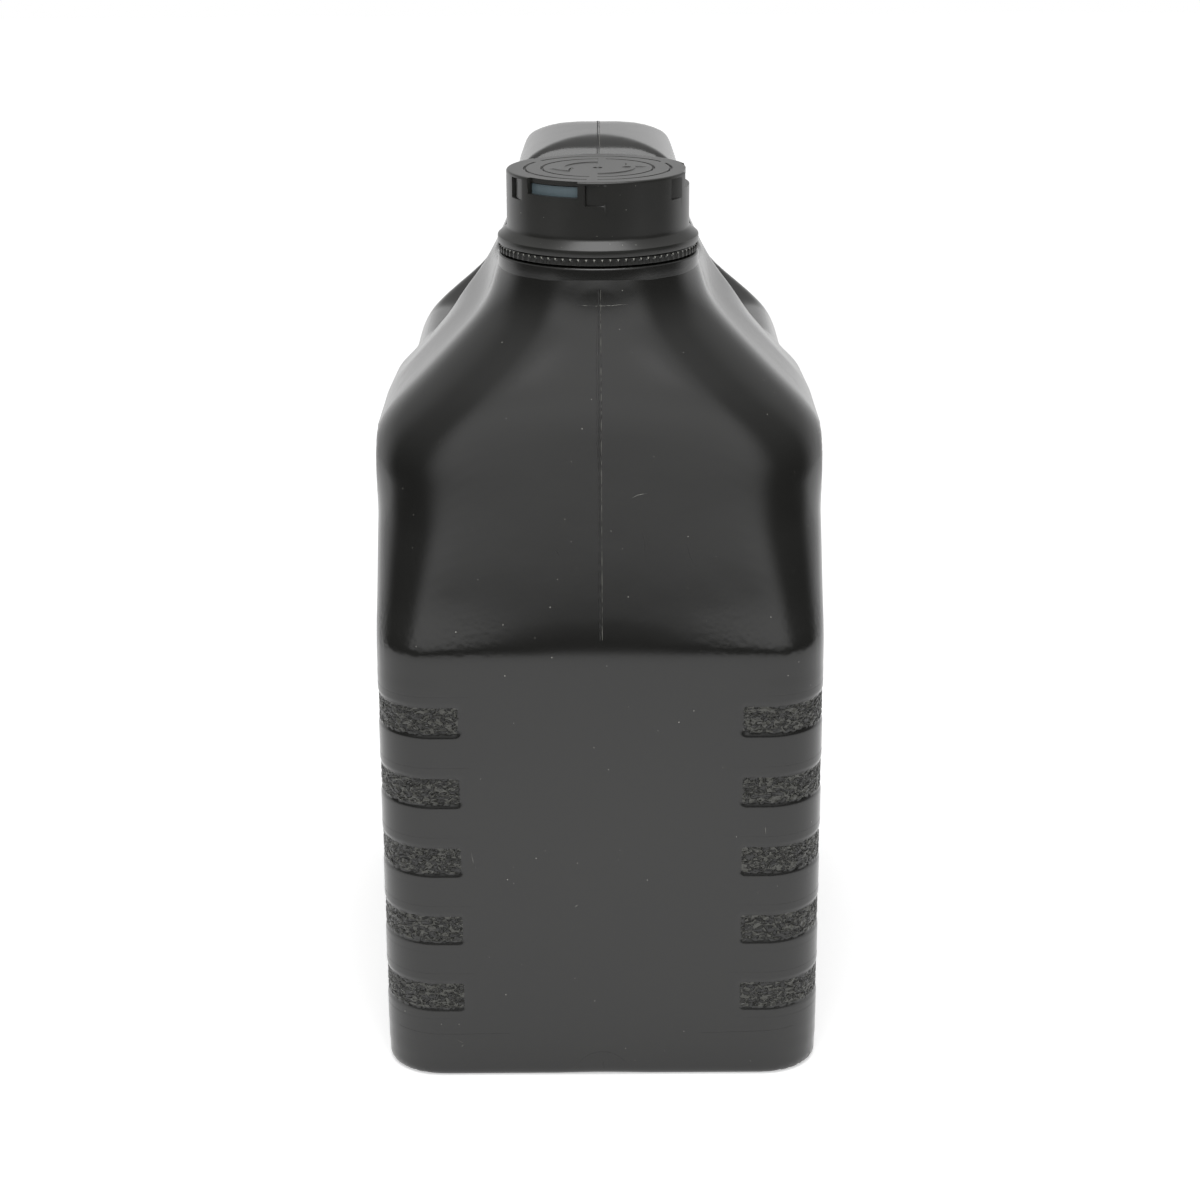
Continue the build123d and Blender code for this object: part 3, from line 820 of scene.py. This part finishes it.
def recessArc():
    # painted shade: a dark stroke round the mould's round pinch mark at the foot of the end face
    radius, middle = markSet["recessRadius"], markSet["recessHeight"]
    turns = [math.radians(angle) for angle in range(35, 146, 5)]
    return tuple((radius * math.cos(t), middle + radius * math.sin(t)) for t in turns)


markPiece("pale_scuffs", markSet["pale"], paleScuff)
markPiece("dark_painted_shade_marks", (*markSet["dark"], recessArc(), markSet["pinch"]), paintedShadowDark)
print("marks laid")


# Closure shell: skirt with a flared foot, three windows, six ramp pockets, ring grooves and turning arrows
shellSet = {
    "columns": 720, "skirt": 27.0, "wall": 1.5, "flare": 29.8, "flareRise": 2.3, "footHeight": 2.0,
    "edge": 0.55, "plate": 1.4,
    "windows": 3, "windowMiddle": -30.7, "windowSpan": 36.0, "windowHeight": 4.6, "lip": 1.1,
    "pockets": 6, "pocketStart": -7.7, "pocketSpan": 13.0, "pocketDepth": 0.95,
    "pocketHeight": 6.9, "pocketHead": 0.9,
    "grooves": ((21.6, 3), (16.5, 2)), "grooveBreak": 9.0, "grooveHalf": 0.24,
    "grooveSlope": 0.2, "grooveDepth": 0.5,
    "arrows": 2, "arrowRadius": 10.5, "arrowSpan": 96.0, "arrowHalf": 0.75, "arrowHead": 3.0,
    "arrowTip": 32.0, "arrowHeight": 0.2, "gateRadius": 1.3, "gateDepth": 0.3,
}
shellTop = capHigh.z / mm - shellSet["arrowHeight"]
shellFoot = capLow.z / mm
windowTop = shellTop - shellSet["plate"]
windowFoot = shellTop - shellSet["windowHeight"]
pocketFoot = shellTop - shellSet["pocketHeight"]
innerRadius = shellSet["skirt"] - shellSet["wall"]


def windowShare(angle):
    start = shellSet["windowMiddle"] - shellSet["windowSpan"] / 2
    return arcShare(angle, start, shellSet["windowSpan"], shellSet["windows"])


def onArrow(angle, radius):
    turn = angle % (360 / shellSet["arrows"])
    off = abs(radius - shellSet["arrowRadius"])
    if turn <= shellSet["arrowSpan"]:
        return off <= shellSet["arrowHalf"]
    return off <= shellSet["arrowHead"] * (1 - (turn - shellSet["arrowSpan"]) / shellSet["arrowTip"])


def topHeight(angle, radius, z):
    for grooveRadius, count in shellSet["grooves"]:
        cut = arcShare(angle, 0, 360 / count - shellSet["grooveBreak"], count)
        if abs(radius - grooveRadius) < shellSet["grooveHalf"] and cut is not None:
            z -= shellSet["grooveDepth"]
    if onArrow(angle, radius):
        z += shellSet["arrowHeight"]
    if radius < shellSet["gateRadius"]:
        z -= shellSet["gateDepth"]
    return z


def shellPlace(angle, row):
    zone, radius, z = row
    if zone == "top":
        z = topHeight(angle, radius, z)
    if zone in ("rim", "side"):
        if windowShare(angle) is not None and z > windowTop - 0.01:
            radius = min(radius, shellSet["skirt"] - shellSet["lip"])
        share = arcShare(angle, shellSet["pocketStart"], shellSet["pocketSpan"], shellSet["pockets"])
        if zone == "side" and share is not None and z < shellTop - shellSet["pocketHead"] and z > pocketFoot:
            radius -= shellSet["pocketDepth"] * (1 - share)
    return radius, z


def shellRows():
    rows = [("top", radius, shellTop) for radius in (0.0, 0.8, 1.25, 1.45, 4.0, 7.0)]
    rows += [("top", 7.8 + 0.27 * step, shellTop) for step in range(21)]
    rows.append(("top", 14.6, shellTop))
    for grooveRadius, count in reversed(shellSet["grooves"]):
        half, slope = shellSet["grooveHalf"], shellSet["grooveSlope"]
        for off in (-half - slope, -half + 0.02, half - 0.02, half + slope):
            rows.append(("top", grooveRadius + off, shellTop))
        rows.append(("top", grooveRadius + 2.0, shellTop))
    rows += [("top", 25.0, shellTop), ("top", 25.7, shellTop)]
    edge, skirt = shellSet["edge"], shellSet["skirt"]
    for step in range(7):
        turn = math.radians(15 * step)
        rows.append(("rim", skirt - edge + edge * math.sin(turn), shellTop - edge + edge * math.cos(turn)))
    head = shellTop - shellSet["pocketHead"]
    for z in (head + 0.03, head - 0.12, windowTop):
        rows.append(("side", skirt, z))
    outerHead = len(rows) - 1
    rows += [("side", skirt, (windowTop + windowFoot) / 2), ("side", skirt, windowFoot)]
    for z in (windowFoot - 1.0, pocketFoot + 0.1, pocketFoot - 0.05, 257.0, 254.0, 251.6):
        rows.append(("side", skirt, z))
    foot = shellFoot + shellSet["footHeight"]
    flare = shellSet["flare"]
    flareTop = foot + shellSet["flareRise"]
    for radius, z in ((skirt, flareTop + 0.5), (skirt + 0.06, flareTop + 0.15),
                      (skirt + 0.25, flareTop - 0.15), (flare - 0.3, foot + 0.28),
                      (flare - 0.07, foot + 0.08), (flare, foot - 0.15), (flare, shellFoot + 0.3),
                      (flare - 0.08, shellFoot + 0.08), (flare - 0.3, shellFoot)):
        rows.append(("side", radius, z))
    under = flare - shellSet["wall"]
    for radius, z in ((under, shellFoot), (under, foot - 0.75), (innerRadius, flareTop - 0.75),
                      (innerRadius, windowFoot), (innerRadius, (windowTop + windowFoot) / 2),
                      (innerRadius, windowTop), (12.0, windowTop), (0.0, windowTop)):
        rows.append(("plain", radius, z))
    return rows, outerHead, len(rows) - 3


def closureShell():
    rows, outerHead, innerHead = shellRows()
    columns = shellSet["columns"]
    pairs = [(outerHead + k, innerHead - k) for k in range(3)]

    def opens(angle):
        share = windowShare(angle)
        return share is not None and 0 < share < 1

    def keep(angle, j):
        return not (opens(angle) and (outerHead <= j < outerHead + 2 or innerHead - 2 <= j < innerHead))

    def windowWalls(mesh, rings):
        for i in range(columns):
            k = (i + 1) % columns
            here, before = opens(360 * (i + 0.5) / columns), opens(360 * (i - 0.5) / columns)
            if here:
                for outer, inner in (pairs[0], pairs[2]):
                    mesh.faces.new((rings[outer][i], rings[outer][k], rings[inner][k], rings[inner][i]))
            if here != before:
                for (outer, inner), (outerNext, innerNext) in zip(pairs, pairs[1:]):
                    corners = (outer, outerNext, innerNext, inner)
                    mesh.faces.new([rings[corner][i] for corner in corners])

    return turnedMesh("closure_shell", columns, rows, shellPlace, keep, windowWalls)


shellMesh = closureShell()
shellPiece = addPiece("closure_shell", shellMesh, "cap", blackPolypropylene, sharp=28)
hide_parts("cap_shell")
print("closure shell:", len(shellMesh.polygons), "faces")


# Tamper band: fine ribs whose upper ends slope off, with the broken bridge stubs on top
bandSet = {
    "ribs": 80, "perRib": 10, "valley": 29.15, "rib": 0.42, "ribHalf": 0.3, "lipTop": 0.55,
    "inner": 22.4, "lip": 1.2, "wallInner": 27.8, "bridges": 12, "bridgeSpan": 2.3, "stub": 0.12,
    "tipHalf": 0.34, "tipHeight": 0.62,
}


def tamperBand():
    foot, top = bandLow.z / mm, bandHigh.z / mm - bandSet["stub"]
    valley = bandSet["valley"]
    rows = [("plain", bandSet["inner"], foot), ("plain", valley - 0.3, foot),
            ("plain", valley - 0.05, foot + 0.08)]
    rows += [("rib", valley, foot + 0.2 + (top - foot - 0.35) * step / 12) for step in range(13)]
    rows += [("plain", valley - 0.05, top - 0.06), ("stub", valley - 0.2, top), ("stub", valley - 0.9, top),
             ("plain", bandSet["wallInner"], top), ("plain", bandSet["wallInner"], foot + bandSet["lip"]),
             ("plain", bandSet["inner"], foot + bandSet["lip"]), ("plain", bandSet["inner"], foot)]

    def place(angle, row):
        zone, radius, z = row
        if zone == "rib":
            turn = (angle % (360 / bandSet["ribs"])) * bandSet["ribs"] / 360
            # each rib narrows and sinks towards its upper end
            ribTop = top - bandSet["lipTop"]
            reach = bandSet["ribHalf"] * min(1.0, max(ribTop - z, 0) / 0.5 + 0.001)
            crown = 1 - ease(abs(turn - 0.5), reach * 0.45, reach + 0.02)
            radius += bandSet["rib"] * crown * ease(ribTop + 0.3 - z, 0, 0.5)
        if zone == "stub" and arcShare(angle, 0, bandSet["bridgeSpan"], bandSet["bridges"]) is not None:
            z += bandSet["stub"]
        return radius, z

    return turnedMesh("tamper_band", bandSet["ribs"] * bandSet["perRib"], rows, place)


bandMesh = tamperBand()
bandPiece = addPiece("tamper_band", bandMesh, "bottle", blackPolypropylene, sharp=50)
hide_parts("tamper_ring")
print("tamper band:", len(bandMesh.polygons), "faces")


def ribTips():
    # painted highlight: the sloped upper end of each rib, drawn pale where it catches the light
    points = []
    faces = []
    top = bandHigh.z / mm - bandSet["stub"] - 0.2
    outer = bandSet["valley"] + bandSet["rib"]
    for rib in range(bandSet["ribs"]):
        middle = 360 / bandSet["ribs"] * (rib + 0.5)
        half = math.degrees(bandSet["tipHalf"] / outer)
        base = len(points)
        points += [polar(outer - 0.1, middle - half, top), polar(outer - 0.1, middle + half, top),
                   polar(outer + 0.08, middle, top - bandSet["tipHeight"])]
        faces.append((base, base + 2, base + 1))
    return newMesh("rib_tips", points, faces)


addPiece("rib_tips", ribTips(), "bottle", ribTipHighlight)


# Inner cap and liner: the CAD solids with their own finish
paint(nodes["inner_cap"], greyPolyethylene)
paint(nodes["sealing_liner"], whiteFoam)


# Floor and backdrop: white paper; it reads white to the camera and keeps the soft shadow
stageSet = {"half": 1.15, "front": 0.9, "back": 3.0, "white": "#f2f2f2", "lift": 0.46}


def paperFloor():
    material, tree = newMaterial("white_paper_floor")
    path = addNode(tree, "LightPath")
    seen = addNode(tree, "Math", {0: path.outputs["Is Camera Ray"], 1: path.outputs["Is Glossy Ray"]},
                   operation="MAXIMUM")
    seen = addNode(tree, "Math", {0: seen, 1: path.outputs["Is Transmission Ray"]}, operation="MAXIMUM")
    paper = addNode(tree, "BsdfDiffuse", {"Color": hexColour(stageSet["white"])})
    level = addNode(tree, "Math", {0: seen, 1: stageSet["lift"]}, operation="MULTIPLY")
    glow = addNode(tree, "Emission", {"Color": (1, 1, 1, 1), "Strength": level})
    both = addNode(tree, "AddShader", {0: paper, 1: glow})
    addNode(tree, "OutputMaterial", {"Surface": both})
    return material


half, front, back = stageSet["half"], stageSet["front"], stageSet["back"]
corners = [(-half, -front, 0), (half, -front, 0), (half, back, 0), (-half, back, 0)]
floor = bpy.data.objects.new("floor", newMesh("floor", corners, [(0, 1, 2, 3)]))
bpy.context.scene.collection.objects.link(floor)
paint(floor, paperFloor())


# Room light: a pale surround behind, a dim room at the sides, a broad light in front, a softbox overhead.
# Each ramp gives the room's brightness by height, from the horizon (0) to straight up (1).
lightSet = {
    "front": ((0.0, 0.05), (0.08, 0.06), (0.15, 0.5), (0.21, 0.85), (0.28, 1.15), (0.5, 1.3), (0.75, 0.9),
              (1.0, 0.9)),
    "side": ((0.0, 0.08), (0.12, 0.1), (0.3, 0.16), (0.7, 0.4), (1.0, 0.9)),
    "back": ((0.0, 0.95), (0.14, 0.8), (0.35, 0.5), (0.7, 0.6), (1.0, 0.9)),
    "frontFrom": -0.5, "frontFull": -0.82, "backFrom": 0.1, "backFull": 0.55,
    "softWide": 0.32, "softLong": 0.5, "softPower": 2.1, "softHeight": 0.68, "softFront": 0.26,
}


def levelRamp(tree, height, stops):
    # the ramp holds shares of its brightest level
    brightest = max(level for place, level in stops)
    node = addNode(tree, "ValToRGB", {0: height})
    elements = node.color_ramp.elements
    while len(elements) < len(stops):
        elements.new(1.0)
    for element, (place, level) in zip(elements, stops):
        element.position = place
        element.color = (level / brightest, level / brightest, level / brightest, 1.0)
    return addNode(tree, "Math", {0: node.outputs["Color"], 1: brightest}, operation="MULTIPLY")


def roomLight():
    world = bpy.data.worlds.new("studio")
    bpy.context.scene.world = world
    world.use_nodes = True
    tree = world.node_tree
    tree.nodes.clear()
    way = addNode(tree, "TexCoord").outputs["Generated"]
    toward = addNode(tree, "SeparateXYZ", {0: way})
    level = addNode(tree, "CombineXYZ", {0: toward.outputs["X"], 1: toward.outputs["Y"]})
    level = addNode(tree, "VectorMath", {0: level}, operation="NORMALIZE")
    bearing = addNode(tree, "SeparateXYZ", {0: level})
    height = toward.outputs["Z"]
    room = levelRamp(tree, height, lightSet["side"])
    for wall in ("front", "back"):
        start, full = lightSet[wall + "From"], lightSet[wall + "Full"]
        near = addNode(tree, "MapRange", {"Value": bearing.outputs["Y"], "From Min": start, "From Max": full},
                       interpolation_type="SMOOTHSTEP")
        room = addNode(tree, "Mix", {"Factor": near, "A": room, "B": levelRamp(tree, height, lightSet[wall])})
    path = addNode(tree, "LightPath")
    lit = addNode(tree, "Background", {"Color": (1, 1, 1, 1), "Strength": room})
    plain = addNode(tree, "Background", {"Color": (1, 1, 1, 1), "Strength": 1.0})
    both = addNode(tree, "MixShader", {0: path.outputs["Is Camera Ray"], 1: lit, 2: plain})
    addNode(tree, "OutputWorld", {"Surface": both})


roomLight()
softData = bpy.data.lights.new("softbox", "AREA")
softData.shape = "RECTANGLE"
softData.size = lightSet["softWide"]
softData.size_y = lightSet["softLong"]
softData.energy = lightSet["softPower"]
softbox = bpy.data.objects.new("softbox", softData)
softbox.location = (0, -lightSet["softFront"], lightSet["softHeight"])
bpy.context.scene.collection.objects.link(softbox)
print("floor and lights ready")


# Camera: a short telephoto, looking slightly down on the spout end
cameraSet = {"lens": 78.0, "across": 0.0, "back": 803.5, "height": 389.4, "pitch": 18.5, "roll": -0.3}
cameraData = bpy.data.cameras.new("camera")
cameraData.lens = cameraSet["lens"]
cameraData.sensor_width = 36.0
camera = bpy.data.objects.new("camera", cameraData)
camera.location = (cameraSet["across"] * mm, -cameraSet["back"] * mm, cameraSet["height"] * mm)
camera.rotation_mode = "ZYX"
camera.rotation_euler = (math.radians(90 - cameraSet["pitch"]), 0, math.radians(cameraSet["roll"]))
bpy.context.scene.collection.objects.link(camera)
bpy.context.scene.camera = camera

bpy.context.scene.view_settings.view_transform = "Standard"
